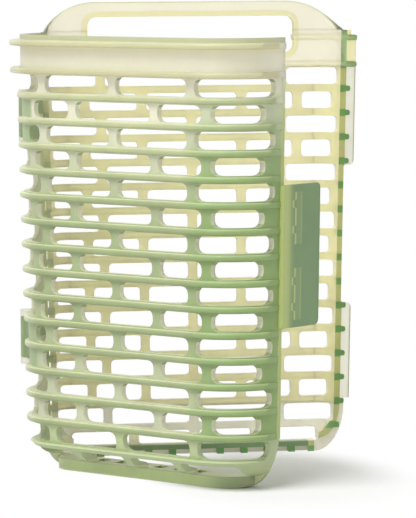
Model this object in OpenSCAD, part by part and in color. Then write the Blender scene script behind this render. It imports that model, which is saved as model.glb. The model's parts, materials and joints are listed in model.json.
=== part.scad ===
// Produce keeper: a vented, translucent two-half basket that opens like a book on a vertical hinge.
// Both halves are thin ribbed shells swept round a half-stadium plan, with slots in brick rows.
// Millimetres, +Z up. X runs from the hinge side to the latch side, +Y towards the rear half's back.
// The origin lies under the rear half, on the floor, half way along its middle floor strut.

/* [Plan] */
// Width across the outer wall faces at the top flange
rim_w = 124.4; // [112:0.2:136]
// Depth and plan corner radius of the front half at the top flange
front_r = 26.3; // [24:0.1:30]
// Depth and plan corner radius of the rear half at the top flange
rear_r = 12; // [11:0.1:16]
// Thickness of the walls
wall = 2.4; // [1.8:0.1:2.6]
// Draft of the walls, run per unit of height
draft = 0.022; // [0.01:0.001:0.026]
// Distance of each rim face from the plane where the halves meet
rim_gap = 0.2; // [0.1:0.05:0.5]

/* [Heights] */
// Height of the lowest rib above the floor
low_rib_z = 10.7; // [10.2:0.1:13]
// Distance from rib to rib
rib_pitch = 9.78; // [9.2:0.02:11]
// Distance from the highest rib to the top flange
band_h = 10.75; // [9.5:0.05:14]
// Height of the plain lip above the top flange
lip_h = 3.1; // [2:0.1:5]
// Height of the handle arch above the lip
arch_h = 11.7; // [10.8:0.1:15]

/* [Ribs and slots] */
// Number of ribs below the top flange
rib_count = 16; // [14:2:18]
// Thickness of a rib
rib_t = 2.2; // [1.6:0.1:2.6]
// How far a rib stands proud of the wall
rib_proud = 1.75; // [1.2:0.05:2.2]
// Rounding of the rib tips and the flange tips
tip_r = 0.7; // [0.3:0.1:0.7]
// Thickness of the webs that close the ribs along the rims
web_t = 1.6; // [1.2:0.1:2]
// How far the two flanges of the top band stand proud of the wall
flange_proud = 4.2; // [3.6:0.1:5]
// How far the front half's ribs and rim web stand proud on the latch side
latch_flush = 0.25; // [0.1:0.05:0.6]
// How far the front half's flanges stand proud on the latch side
flange_flush = 0.5; // [0.3:0.1:1.5]
// Height of the wall bar left between two rows of slots
bar_h = 2.95; // [2.6:0.05:3.6]
// Width of the struts between slots
strut_w = 3.6; // [3:0.1:5]
// Corner radius of the slots in the rear half and in the lowest row
slot_r = 1.5; // [0.8:0.1:1.8]
// Corner radius of the slots in the front half
front_slot_r = 2.6; // [1.2:0.1:2.7]
// How far past the start of the front corners the second strut stands in the rows with a middle strut
strut_a = 1.2; // [-2:0.1:3]
// Middle of the first strut in the rows that have a slot at the middle
strut_b = 20.5; // [17:0.1:22]
// How far past the start of the front corners the second strut stands in the rows with a middle slot
strut_c = 7.7; // [5:0.1:10]
// How far the inner struts of the front half stand off its middle towards the hinge
strut_shift = 1.3; // [0:0.1:2]
// Distance from the middle strut to the next strut in the lowest row
low_strut = 25; // [20:0.5:28]
// Plain margin at the rear slot ends, in from the wall face, in rows with a middle strut
end_a = 2.9; // [2.5:0.1:4]
// The same margin in rows with a middle slot
end_b = 4.7; // [4:0.1:7]
// Depth of the plain margin between the rim and the front slots, in rows with a middle strut
front_end_a = 4.6; // [3.6:0.1:6]
// The same margin in rows with a middle slot
front_end_b = 9; // [7:0.1:11]
// Width of the plain panel that the front corner has behind each hinge, in from the wall face
hinge_panel = 16.6; // [14:0.1:17]

/* [Foot and floor] */
// How far the foot stands in from the side walls and the front wall
foot_inset = 10.6; // [8:0.1:13]
// How far the rear half's foot stands in from its back wall
rear_inset = 3; // [2:0.1:4]
// Height of the plain foot
foot_h = 4.3; // [4:0.1:5]
// Width of the rounded bottom corner that the front half has on the latch side
toe_w = 15.3; // [12:0.1:16]
// Height at which that rounding starts
toe_h = 25; // [20:0.5:30]
// Thickness of the basket's floor
floor_t = 2; // [1.6:0.1:2.4]
// Width of the floor struts
floor_strut_w = 2.6; // [2:0.1:3.4]
// Distance from floor strut to floor strut
floor_pitch = 9.78; // [8:0.02:12]
// Width of the drain slots between the floor struts
drain_w = 4.6; // [3:0.1:5]

/* [Handle] */
// Radius of the handle's rounded shoulders
shoulder_r = 26.3; // [20:0.1:32]
// Width of the handle where it meets the lip
handle_w = 121; // [116:0.5:122]
// Width of the hand hole
hole_w = 84.4; // [76:0.2:90]
// Height of the hand hole
hole_h = 15; // [12:0.5:16]
// Depth of the handle bar above the hand hole
handle_bar = 6; // [5:0.1:7]
// Corner radius of the hand hole
hole_r = 3.6; // [2:0.1:5]
// Width of the bead round the hand hole
bead_w = 2; // [1.4:0.1:2.4]
// How far the bead stands proud of the wall
bead_proud = 1.4; // [0.8:0.1:2]

/* [Hinge] */
// Distance from the wall face at the top flange out to the hinge axis
hinge_offset = 6.05; // [5.4:0.05:7]
// Radius of the hinge pins
pin_r = 1.6; // [1.2:0.05:1.8]
// Running clearance of the clips round the pins
pin_fit = 0.05; // [0.02:0.01:0.1]
// Wall of the clips and of the ears round the pins
knuckle_t = 1.4; // [1:0.05:1.6]
// Height of the clips
clip_h = 16; // [12:0.5:18]
// Thickness of the ears above and below a clip
ear_t = 2.6; // [2:0.1:3.2]
// Clearance between a clip and its ears
ear_gap = 0.3; // [0.2:0.05:0.6]
// Rib at the middle of the upper hinge, counted down from the top band
upper_hinge_rib = 3; // [3:1:4]
// Rib at the middle of the lower hinge, counted up from the lowest rib
lower_hinge_rib = 4; // [3:1:5]
// Angle by which the front half stands open
open_angle = 48.3; // [0:0.1:120]

/* [Latch] */
// Thickness of the latch tabs
tab_t = 1.6; // [1.2:0.1:2]
// Clearance of a closed tab over the other half
tab_gap = 0.35; // [0.3:0.05:0.6]
// Depth of the latch seat, cut a little into the wall so that a tab lies flat
latch_seat = 0.3; // [0.2:0.05:0.5]
// Reach of the front tab past the rim
front_tab_reach = 20.4; // [14:0.2:24]
// Length of the front tab's root on the wall
tab_root = 2; // [1.6:0.1:3]
// How far the rear tabs are set back from the rim face
tab_back = 0.6; // [0.4:0.1:1.5]
// How far the catch bars stand proud on the inside of the front tab
catch_proud = 0.3; // [0.2:0.05:0.3]
// Distance of the catch bars from the rim
catch_y = 5.5; // [4.5:0.1:7]
// Width of the catch bars
catch_w = 3.4; // [2.5:0.1:4]
// Half the gap between the two catch bars
catch_gap = 4.4; // [3:0.1:6]
// How far a tooth of a catch bar reaches towards the rim
tooth_w = 1.5; // [1:0.1:2]
// Half the height of a tooth
tooth_h = 1.3; // [1:0.05:1.6]
// Height of the front tab's lower edge
front_tab_z = 61.5; // [60:0.1:66]
// Height of the front tab
front_tab_h = 54.3; // [44:0.1:55]
// Vertical clearance between a front tab edge and a rear tab edge
tab_step = 0.8; // [0.6:0.1:3]
// Height of the lower rear tab's lower edge
low_tab_z = 21.6; // [21:0.1:30]
// Corner radius of the tabs
tab_r = 2; // [1:0.1:3]

/* [Hidden] */
$fn = 64;

// Levels. Rib 1 is the highest rib and the lower flange of the top band; rib_count is the lowest.
function rib_z(k) = low_rib_z + (rib_count - k) * rib_pitch;
flange_z = rib_z(1) + band_h;
rim_z = flange_z + lip_h;
arch_z = rim_z + arch_h;
upper_hinge_z = rib_z(upper_hinge_rib);
lower_hinge_z = rib_z(rib_count - lower_hinge_rib);
band_z = rib_z(1) - rib_t / 2;
base_z = rib_z(rib_count - 1) - rib_t / 2;

// Plan. How far the wall face has moved out at a height, and the half width there.
function wall_d(z) = -draft * (flange_z - z);
function half_w(z) = rim_w / 2 + wall_d(z);
origin_y = rim_gap + (rear_r + wall_d(base_z) - rear_inset) / 2;
hinge_x = -rim_w / 2 - hinge_offset;
eps = 0.01;
far = 400;

// Curved skirt from the wall in to the foot: an ellipse quarter, outside and inside.
inner_foot_z = foot_h + 0.9 * wall;
skirt_steps = 6;
function skirt_in(z, foot, inset) =
    inset * (1 - sqrt(max(0, 1 - pow((base_z - z) / (base_z - foot), 2))));
function outer_skirt(edge, inset, z0, z1) =
    [for (i = [0 : skirt_steps]) let (z = z0 + (z1 - z0) * i / skirt_steps)
        [edge - skirt_in(z, foot_h, inset), z]];
function inner_skirt(edge, inset) =
    [for (i = [0 : 2 * skirt_steps]) let (z = base_z + (inner_foot_z - base_z) * i / (2 * skirt_steps))
        [edge - wall - skirt_in(z, inner_foot_z, inset), z]];

// Slots of one row: half of them, as [inner end, outer end] across the width.
outer_a = rim_w / 2 - front_r + strut_a;
outer_c = rim_w / 2 - front_r + strut_c;
function is_strut_row(row) = row % 2 == 1;
function lean(row) = half_w(rib_z(row + 0.5)) / half_w(rib_z(1.5));
function row_slots(row) =
    let (h = strut_w / 2, edge = rim_w / 2)
    is_strut_row(row)
        ? [[h, outer_a - h], [outer_a + h, edge - end_a]]
        : [[-strut_b + h, strut_b - h], [strut_b + h, outer_c - h], [outer_c + h, edge - end_b]];
function mirror_pairs(list) = concat(list, [for (s = list) if (s[0] > 0) [-s[1], -s[0]]]);

// Points of a rectangle with rounded corners, from its lower left to its upper right corner.
function round_box(a, b, r, steps = 3) =
    [for (q = [[b[0] - r, b[1] - r, 0], [a[0] + r, b[1] - r, 90], [a[0] + r, a[1] + r, 180],
               [b[0] - r, a[1] + r, 270]], i = [0 : steps])
        [q[0] + r * cos(q[2] + 90 * i / steps), q[1] + r * sin(q[2] + 90 * i / steps)]];

// The three stretches of a half: the flat face, and the corners on the hinge and the latch side.
FACE = [0];
HINGE_SIDE = [-1];
LATCH_SIDE = [1];
ALL_ROUND = [-1, 0, 1];

// A profile of offset and height swept round a half of depth r, over the stretches asked for.
module sweep(r, stretches = ALL_ROUND) {
    c = rim_w / 2 - r;
    for (s = stretches)
        if (s == 0)
            translate([0, rim_gap + r, 0]) rotate([90, 0, 90])
                linear_extrude(2 * c, center = true) children();
        else
            mirror([s < 0 ? 1 : 0, 0, 0]) translate([c, rim_gap, 0])
                rotate_extrude(angle = 90) translate([r, 0]) children();
}

// A profile in width and height extruded along Y from y0 to y1.
module along_y(y0, y1) {
    translate([0, y1, 0]) rotate([90, 0, 0]) linear_extrude(y1 - y0) children();
}

// A profile in depth and height extruded along X from x0 to x1.
module along_x(x0, x1) {
    translate([x0, 0, 0]) rotate([90, 0, 90]) linear_extrude(x1 - x0) children();
}

// One rib tooth of the outer outline, from its lower to its upper root, with a rounded tip.
turns = [0, 45, 90];
function tooth(z, t, proud) =
    let (h = t / 2,
         low = [for (a = turns) [proud - tip_r + tip_r * sin(a), -h + tip_r - tip_r * cos(a)]],
         top = [for (a = turns) [proud - tip_r + tip_r * cos(a), h - tip_r + tip_r * sin(a)]])
    [for (p = concat([[0, -h]], low, top, [[0, h]])) [wall_d(z + p[1]) + p[0], z + p[1]]];

// Wall of the slotted zone with ribs 2 to the last but one.
module grille_profile(depth) {
    teeth = [for (k = [rib_count - 1 : -1 : 2]) each tooth(rib_z(k), rib_t, rib_proud)];
    polygon(concat([[wall_d(base_z) - depth, base_z]], teeth,
                   [[wall_d(band_z), band_z], [wall_d(band_z) - depth, band_z]]));
}

// Plain top band with its two flanges.
module band_profile(depth) {
    low = tooth(rib_z(1), rib_t, flange_proud);
    top = tooth(flange_z, rib_t, flange_proud);
    polygon(concat([[wall_d(band_z) - depth, band_z]], low, top,
                   [[wall_d(rim_z), rim_z], [wall_d(rim_z) - depth, rim_z]]));
}

// Curved skirt with the lowest rib, down to the foot.
low_rib0 = low_rib_z - rib_t / 2;
low_rib1 = low_rib_z + rib_t / 2;
module skirt_profile() {
    edge = wall_d(base_z);
    below = outer_skirt(edge, foot_inset, foot_h, low_rib0);
    above = outer_skirt(edge, foot_inset, low_rib1, base_z);
    low = [for (a = turns) below[skirt_steps]
        + [rib_proud - tip_r + tip_r * sin(a), tip_r - tip_r * cos(a)]];
    top = [for (a = turns) above[0]
        + [rib_proud - tip_r + tip_r * cos(a), -tip_r + tip_r * sin(a)]];
    polygon(concat([[edge - foot_inset, 0]], below, low, top, above, inner_skirt(edge, foot_inset),
                   [[edge - foot_inset - wall, 0]]));
}

// One slot cut along the draw of the mould, between two places across the width and two heights.
module draw_cut(r, x0, x1, z0, z1, corner) {
    along_y(rim_gap, rim_gap + r + flange_proud) polygon(round_box([x0, z0], [x1, z1], corner));
}

// Cutters for one row of slots in the rear half.
function slot_z0(row) = rib_z(row + 1) + bar_h / 2;
function slot_z1(row) = rib_z(row) - bar_h / 2;
module rear_row(row) {
    for (s = mirror_pairs(row_slots(row)))
        draw_cut(rear_r, s[0] * lean(row), s[1] * lean(row), slot_z0(row), slot_z1(row), slot_r);
}

// Cutters for one row in the front half: its outer slots run on round the corners, where they are
// cut from the side, except behind a hinge.
function hinge_row(row) =
    min([for (z = [upper_hinge_z, lower_hinge_z]) abs(rib_z(row + 0.5) - z)]) < rib_pitch;
function front_struts(row) =
    is_strut_row(row)
        ? [-outer_a, -strut_shift, outer_a]
        : [-outer_c, -strut_b - strut_shift, strut_b - strut_shift, outer_c];
module front_row(row) {
    r = front_slot_r;
    z0 = slot_z0(row);
    z1 = slot_z1(row);
    h = strut_w / 2;
    struts = front_struts(row) * lean(row);
    last = len(struts) - 1;
    start = struts[last] + h;
    stop = (rim_w / 2 - hinge_panel) * lean(row);
    rim_end = rim_gap + (is_strut_row(row) ? front_end_a : front_end_b);
    for (i = [1 : last]) draw_cut(front_r, struts[i - 1] + h, struts[i] - h, z0, z1, r);
    for (m = [0, 1]) mirror([m, 0, 0])
        if (m == 1 && hinge_row(row)) {
            if (stop - start > 2 * r + 0.2) draw_cut(front_r, start, stop, z0, z1, r);
        } else {
            draw_cut(front_r, start, start + 3 * r, z0, z1, r);
            along_x(start + r, rim_w) polygon(round_box([rim_end, z0], [3 * front_r, z1], r));
        }
}

// Room cut in the ribs on the latch side, outside the wall face by proud, in depth and height.
module latch_room(proud, y0, y1, z0, z1) {
    along_y(y0, y1)
        polygon([[half_w(z0) + proud, z0], [rim_w, z0], [rim_w, z1], [half_w(z1) + proud, z1]]);
}
room_z0 = front_tab_z - tab_step / 2;
room_z1 = front_tab_z + front_tab_h + tab_step / 2;

// Ribbed wall without slots, as deep as asked: it also trims what is seated on it.
module rear_wall(depth, stretches = ALL_ROUND) {
    difference() {
        sweep(rear_r, stretches) grille_profile(depth);
        latch_room(-latch_seat, 0, rim_gap + front_tab_reach, room_z0, room_z1);
    }
}
module front_wall(depth, stretches = ALL_ROUND) {
    difference() {
        union() {
            sweep(front_r, stretches) grille_profile(depth);
            if (stretches != FACE && stretches != HINGE_SIDE)
                along_y(rim_gap, rim_gap + web_t)
                    tab_section(-wall / 2, rib_proud, base_z, band_z);
        }
        latch_room(latch_flush, 0, 2 * front_r, 0, rim_z);
        latch_room(-latch_seat, 0, tab_root, front_tab_z, front_tab_z + front_tab_h);
    }
}

// Webs in the rim plane that fill the bottom corners out to the rib tips, with a round outline.
module corner_webs(back) {
    side = half_w(base_z);
    steps = 3 * skirt_steps;
    outside = [for (i = [0 : steps]) let (a = 90 * i / steps)
        [side - foot_inset + (foot_inset + rib_proud) * cos(a), base_z * (1 - sin(a))]];
    inside = [for (p = outer_skirt(side - wall / 2, foot_inset, foot_h, base_z)) p];
    for (m = [0, 1]) mirror([m, 0, 0]) along_y(rim_gap + back, rim_gap + back + web_t)
        polygon(concat(outside, [[side - foot_inset - wall / 2, 0]], inside));
}

// The lowest row of slots, in the skirt below the lowest rib.
module lowest_row(r) {
    h = strut_w / 2;
    end = half_w(low_rib_z) - 0.8 * foot_inset;
    for (x = mirror_pairs([[h, low_strut - h], [low_strut + h, end]]))
        draw_cut(r, x[0], x[1], foot_h + 0.1, low_rib0 - 0.1, slot_r);
}

// Cutter for the rounded bottom corner on the latch side of the front half.
module toe_cut() {
    side = half_w(base_z);
    steps = 3 * skirt_steps;
    a0 = asin(1 - base_z / toe_h);
    arc = [for (i = [0 : steps]) let (a = a0 + (90 - a0) * i / steps)
        [side - toe_w + (toe_w + latch_flush) * cos(a), toe_h * (1 - sin(a))]];
    along_y(0, 2 * front_r)
        polygon(concat([[rim_w, base_z + 1], [arc[0][0], base_z + 1]], arc,
                       [[side - toe_w, -1], [rim_w, -1]]));
}

// Floor struts across a plan, from the ground up into the floor.
foot_x = half_w(base_z) - foot_inset - wall;
strut_n = floor((foot_x - floor_strut_w) / floor_pitch);
module floor_struts() {
    linear_extrude(foot_h - floor_t / 2) intersection() {
        children();
        for (i = [-strut_n : strut_n])
            translate([i * floor_pitch - floor_strut_w / 2, rim_gap]) square([floor_strut_w, far]);
    }
}

// Plan of a half of depth r, with its corners, grown by g from the wall face at the top flange.
module half_plan(r, g) {
    c = rim_w / 2 - r;
    translate([-c, rim_gap]) square([2 * c, r + g]);
    intersection() {
        for (x = [-c, c]) translate([x, rim_gap]) circle(r + g);
        translate([-far / 2, rim_gap]) square([far, far]);
    }
}

module hand_hole(grow) {
    top = arch_z - handle_bar;
    round_low = [-hole_w / 2 - grow, top - hole_h - grow];
    polygon(round_box(round_low, [hole_w / 2 + grow, top + grow], hole_r + grow, 6));
}

// Bead round the hand hole on the outside of the wall, between two heights.
module hole_bead(z0, z1) {
    intersection() {
        sweep(rear_r)
            polygon([[wall_d(z0) - wall / 2, z0], [wall_d(z0) + bead_proud, z0],
                     [wall_d(z1) + bead_proud, z1], [wall_d(z1) - wall / 2, z1]]);
        along_y(rim_gap, rim_gap + rear_r + flange_proud) hand_hole(bead_w);
    }
}

// The rear half

module rear_slotted(stretches) {
    color("#b9cf9b") difference() {
        rear_wall(wall, stretches);
        for (row = [1 : rib_count - 2]) rear_row(row);
    }
}

module rear_grille() {
    rear_slotted(FACE);
}

module rear_hinge_corner() {
    rear_slotted(HINGE_SIDE);
}

module rear_latch_corner() {
    rear_slotted(LATCH_SIDE);
}

// Plates of the tabs' row on the band: one between the flanges and a small nib on top of them.
module band_plates() {
    along_y(rim_gap + tab_back, rim_gap + tab_back + tab_t) {
        tab_section(-wall / 2, tab_reach, rib_z(1), flange_z);
        translate([half_w(flange_z) + 0.4, flange_z]) square([1.5, rib_t / 2 + 2]);
    }
}

module rear_top_band() {
    color("#e3e3b4") difference() {
        union() {
            sweep(rear_r) band_profile(wall);
            hole_bead(band_z, rim_z);
            band_plates();
        }
        along_y(rim_gap, rim_gap + rear_r + 2 * flange_proud) hand_hole(0);
    }
}

// Outline of the arch: a flat top between two round shoulders.
module arch_outline() {
    reach = sqrt(pow(shoulder_r, 2) - pow(shoulder_r - arch_h, 2));
    c = handle_w / 2 - reach;
    intersection() {
        union() {
            for (x = [-c, c]) translate([x, arch_z - shoulder_r]) circle(shoulder_r, $fn = 128);
            translate([-c, rim_z]) square([2 * c, arch_h]);
        }
        translate([-far / 2, rim_z]) square([far, arch_h + eps]);
    }
}

module rear_handle() {
    color("#efe9cf") difference() {
        union() {
            intersection() {
                sweep(rear_r)
                    polygon([[wall_d(rim_z) - wall, rim_z], [wall_d(rim_z), rim_z],
                             [wall_d(arch_z), arch_z], [wall_d(arch_z) - wall, arch_z]]);
                along_y(rim_gap, rim_gap + 2 * rear_r) arch_outline();
            }
            hole_bead(rim_z, arch_z);
        }
        along_y(rim_gap, rim_gap + rear_r + 2 * flange_proud) hand_hole(0);
    }
}

// Shallow tray bottom: side outline and back outline crossed, then hollowed from the open side.
rear_back = rim_gap + rear_r + wall_d(base_z);
rear_floor_y = rear_back - rear_inset - wall;
module rear_skirt() {
    side = half_w(base_z);
    back = rear_back;
    g = wall_d(base_z);
    side_out = concat(outer_skirt(side, foot_inset, base_z, foot_h), [[side - foot_inset, 0]]);
    back_out = concat(outer_skirt(back, rear_inset, base_z, foot_h), [[back - rear_inset, 0]]);
    side_in = concat(inner_skirt(side, foot_inset), [[side - foot_inset - wall, foot_h]]);
    back_in = concat(inner_skirt(back, rear_inset), [[back - rear_inset - wall, foot_h]]);
    rib_side = side - skirt_in(low_rib_z, foot_h, foot_inset) + rib_proud;
    rib_back = back - skirt_in(low_rib_z, foot_h, rear_inset) + rib_proud;
    color("#a9c48c") difference() {
        union() {
            intersection() {
                along_y(rim_gap, far / 2) mirrored_outline(side_out);
                along_x(-far / 2, far / 2)
                    polygon(concat([[rim_gap, 0], [rim_gap, base_z]], back_out));
                linear_extrude(base_z) half_plan(rear_r, g);
            }
            intersection() {
                translate([-rib_side, rim_gap, low_rib0])
                    cube([2 * rib_side, rib_back - rim_gap, rib_t]);
                linear_extrude(base_z)
                    half_plan(rear_r, g + rib_proud - (side - rib_side + rib_proud));
            }
            corner_webs(tab_back);
        }
        intersection() {
            along_y(-far / 2, far / 2) mirrored_outline(side_in);
            along_x(-far / 2, far / 2)
                polygon(concat([[-far / 2, foot_h], [-far / 2, base_z]], back_in));
            linear_extrude(far, center = true) {
                half_plan(rear_r, g - wall);
                translate([-side + wall, -far / 2]) square([2 * (side - wall), far / 2 + rim_gap]);
            }
        }
        translate([-foot_x, -far / 2, -eps])
            cube([2 * foot_x, far / 2 + rear_floor_y, foot_h + 2 * eps]);
        rear_row(rib_count - 1);
        lowest_row(rear_r);
    }
}

module rear_floor() {
    color("#a9c48c") union() {
        translate([-foot_x, rim_gap, foot_h - floor_t])
            cube([2 * foot_x, rear_floor_y - rim_gap, floor_t]);
        floor_struts() translate([-foot_x, rim_gap]) square([2 * foot_x, rear_floor_y - rim_gap]);
    }
}

// Closed outline from one side's points, top to bottom, mirrored to the other side.
module mirrored_outline(right) {
    n = len(right) - 1;
    polygon(concat(right, [for (i = [n : -1 : 0]) [-right[i][0], right[i][1]]]));
}

// One rear tab: a plate in the rim plane, set back from the rib ends, that reaches out as far
// as the flanges, with its outer corners rounded by r0 below and r1 above.
tab_reach = flange_proud - 0.3;
function corner_arc(x, z, r, a0) =
    [for (i = [0 : 4]) let (a = a0 + 22.5 * i) [x - r + r * cos(a), z + r * sin(a)]];
module rear_tab(z0, z1, r0, r1) {
    color("#e9e6cc") difference() {
        along_y(rim_gap + tab_back, rim_gap + tab_back + tab_t)
            polygon(concat([[half_w(z0) - wall / 2, z0]],
                           corner_arc(half_w(z0) + tab_reach, z0 + r0, r0, -90),
                           corner_arc(half_w(z1) + tab_reach, z1 - r1, r1, 0),
                           [[half_w(z1) - wall / 2, z1]]));
        rear_wall(wall, LATCH_SIDE);
    }
}

// Section of a tab between two distances from the drafted wall face.
module tab_section(d0, d1, z0, z1) {
    polygon([[half_w(z0) + d0, z0], [half_w(z0) + d1, z0], [half_w(z1) + d1, z1],
             [half_w(z1) + d0, z1]]);
}

module rear_upper_tab() {
    rear_tab(front_tab_z + front_tab_h + tab_step, band_z, tab_r, eps);
}

module rear_lower_tab() {
    rear_tab(low_tab_z, front_tab_z - tab_step, eps, tab_r);
}

// The hinge

knuckle_r = pin_r + pin_fit + knuckle_t;
seat = 2.6 * wall;

// Plan of an arm from the hinge axis to the wall, on the rear side of the rim plane.
module arm_plan() {
    end = hinge_offset + seat - wall / 4;
    polygon([[0, 0.85 * knuckle_r], [end, 2 * knuckle_r], [end, 2 * rim_gap], [0, 2 * rim_gap]]);
}

// A knuckle with its arm, as tall as asked and centred on the hinge axis.
module knuckle(h) {
    cylinder(h = h, r = knuckle_r, center = true);
    linear_extrude(h, center = true) arm_plan();
}

module hinge_pin(z) {
    reach = clip_h / 2 + ear_gap;
    color("#cfdcae") union() {
        difference() {
            for (side = [-1, 1])
                translate([hinge_x, 0, z + side * (reach + ear_t / 2)]) knuckle(ear_t);
            rear_wall(seat, HINGE_SIDE);
        }
        translate([hinge_x, 0, z]) cylinder(h = 2 * reach + ear_t, r = pin_r, center = true);
    }
}

module hinge_clip(z) {
    mouth = 1.6 * pin_r;
    color("#cfdcae") front_pose() difference() {
        translate([hinge_x, 0, z]) mirror([0, 1, 0]) knuckle(clip_h);
        translate([hinge_x, 0, z]) cylinder(h = 2 * clip_h, r = pin_r + pin_fit, center = true);
        translate([hinge_x - knuckle_r, 0, z]) cube([2 * knuckle_r, mouth, 2 * clip_h], center = true);
        mirror([0, 1, 0]) front_wall(seat, HINGE_SIDE);
    }
}

module upper_hinge_pin() {
    hinge_pin(upper_hinge_z);
}

module lower_hinge_pin() {
    hinge_pin(lower_hinge_z);
}

module upper_hinge_clip() {
    hinge_clip(upper_hinge_z);
}

module lower_hinge_clip() {
    hinge_clip(lower_hinge_z);
}

// The front half: built closed on the -Y side, then swung open about the hinge axis

module front_pose() {
    translate([hinge_x, 0, 0]) rotate([0, 0, -open_angle]) translate([-hinge_x, 0, 0]) children();
}

module front_slotted(stretches) {
    color("#b9cf9b") front_pose() mirror([0, 1, 0]) difference() {
        front_wall(wall, stretches);
        for (row = [1 : rib_count - 2]) front_row(row);
    }
}

module front_grille() {
    front_slotted(FACE);
}

module front_hinge_corner() {
    front_slotted(HINGE_SIDE);
}

module front_latch_corner() {
    front_slotted(LATCH_SIDE);
}

module front_top_band() {
    color("#e3e3b4") front_pose() mirror([0, 1, 0]) difference() {
        sweep(front_r) band_profile(wall);
        latch_room(flange_flush, 0, 2 * front_r, 0, arch_z);
    }
}

module front_skirt() {
    color("#a9c48c") front_pose() mirror([0, 1, 0]) difference() {
        union() {
            sweep(front_r) skirt_profile();
            corner_webs(0);
        }
        front_row(rib_count - 1);
        lowest_row(front_r);
        toe_cut();
    }
}

module front_floor() {
    g = wall_d(base_z) - foot_inset - wall;
    depth = front_r + g;
    color("#a9c48c") front_pose() mirror([0, 1, 0]) difference() {
        union() {
            translate([0, 0, foot_h - floor_t]) linear_extrude(floor_t) half_plan(front_r, g);
            floor_struts() half_plan(front_r, g);
        }
        for (i = [-strut_n + 1 : strut_n - 2])
            translate([(i + 0.5) * floor_pitch - drain_w / 2, rim_gap + wall, -eps])
                cube([drain_w, depth - 2 * wall, foot_h + 2 * eps]);
    }
}

// The front tab: its root is seated on the wall, its plate slides over the rear half's side.
module front_latch_tab() {
    z0 = front_tab_z;
    z1 = front_tab_z + front_tab_h;
    outer = tab_gap + tab_t;
    color("#c3d2a8") front_pose() intersection() {
        union() {
            difference() {
                along_y(-tab_root, -rim_gap) tab_section(-wall / 2, outer, z0, z1);
                mirror([0, 1, 0]) front_wall(2 * wall);
            }
            along_y(-rim_gap, front_tab_reach) tab_section(tab_gap, outer, z0, z1);
            catch_bars();
        }
        along_x(0, far) polygon(round_box([-tab_root - tab_r, z0], [front_tab_reach, z1], tab_r));
    }
}

// Two bars on the inside of the front tab, with a tooth at each rib of the other half.
module catch_bars() {
    mid = front_tab_z + front_tab_h / 2;
    end = front_tab_h / 2 - tab_r;
    for (z = [[mid - end, mid - catch_gap], [mid + catch_gap, mid + end]]) {
        along_y(catch_y, catch_y + catch_w)
            tab_section(tab_gap - catch_proud, tab_gap + tab_t / 2, z[0], z[1]);
        for (k = [2 : rib_count - 1])
            if (rib_z(k) - tooth_h > z[0] && rib_z(k) + tooth_h < z[1])
                along_y(catch_y - tooth_w, catch_y + eps)
                    tab_section(tab_gap - catch_proud, tab_gap + tab_t / 2,
                                rib_z(k) - tooth_h, rib_z(k) + tooth_h);
    }
}

// Moves a piece from the plane where the halves meet to the part's own origin
module placed() {
    translate([0, -origin_y, 0]) children();
}

placed() rear_grille();
placed() rear_hinge_corner();
placed() rear_latch_corner();
placed() rear_top_band();
placed() rear_handle();
placed() rear_skirt();
placed() rear_floor();
placed() rear_upper_tab();
placed() rear_lower_tab();
placed() upper_hinge_pin();
placed() lower_hinge_pin();
placed() front_grille();
placed() front_hinge_corner();
placed() front_latch_corner();
placed() front_top_band();
placed() front_skirt();
placed() front_floor();
placed() front_latch_tab();
placed() upper_hinge_clip();
placed() lower_hinge_clip();
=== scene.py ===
import json
import math

import bpy
from bpy.props import FloatProperty, FloatVectorProperty, PointerProperty
from mathutils import Matrix, Quaternion, Vector

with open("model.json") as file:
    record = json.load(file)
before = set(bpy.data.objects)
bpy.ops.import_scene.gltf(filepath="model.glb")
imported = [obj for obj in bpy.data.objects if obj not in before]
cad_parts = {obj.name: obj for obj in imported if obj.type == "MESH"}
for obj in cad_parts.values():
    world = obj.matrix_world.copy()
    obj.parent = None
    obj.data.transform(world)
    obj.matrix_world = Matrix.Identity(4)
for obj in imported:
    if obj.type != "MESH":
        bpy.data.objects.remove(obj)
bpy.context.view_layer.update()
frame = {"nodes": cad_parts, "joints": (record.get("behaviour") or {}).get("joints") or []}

bl_info = {
    "name": "Produce keeper looks",
    "version": (1, 0, 0),
    "blender": (4, 5, 0),
    "location": "3D View > Sidebar > Keeper",
    "description": "Moulded plastic finishes, stage and camera for a hinged produce keeper",
    "category": "Object",
}

# Sizes of the part that the finishes follow, in metres
HINGE = next(j for j in frame["joints"] if j["name"] == "basket_hinge")
HINGE_X, RIM_Y = HINGE["pos_m"][0], HINGE["pos_m"][1]
OPEN = -math.radians(HINGE["range_deg"][0])
HALF_W = 0.0622
DRAFT = 0.022
FLANGE_Z = 0.16815
LOW_RIB_Z = 0.0107
RIB_PITCH = 0.00978
BAND_Z = 0.1563
BASE_Z = 0.01938
RIM_Z = 0.17125
ARCH_Z = 0.18295
SHOULDER_R = 0.0263
SHOULDER_X = 0.0388
REAR_STRAIGHT = 0.0502
REAR_R = 0.0122
FRONT_STRAIGHT = 0.0359
FRONT_R = 0.0265
HOLE_HALF_W = 0.0422
HOLE_HALF_H = 0.0075
HOLE_MIDDLE = 0.16945
HOLE_R = 0.0036
REAR_TAB_REACH = 0.0039
LATCH_TAB_REACH = 0.0204
LATCH_TAB_MIDDLE = 0.08865
LATCH_TAB_STRAIGHT = 0.03

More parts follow.
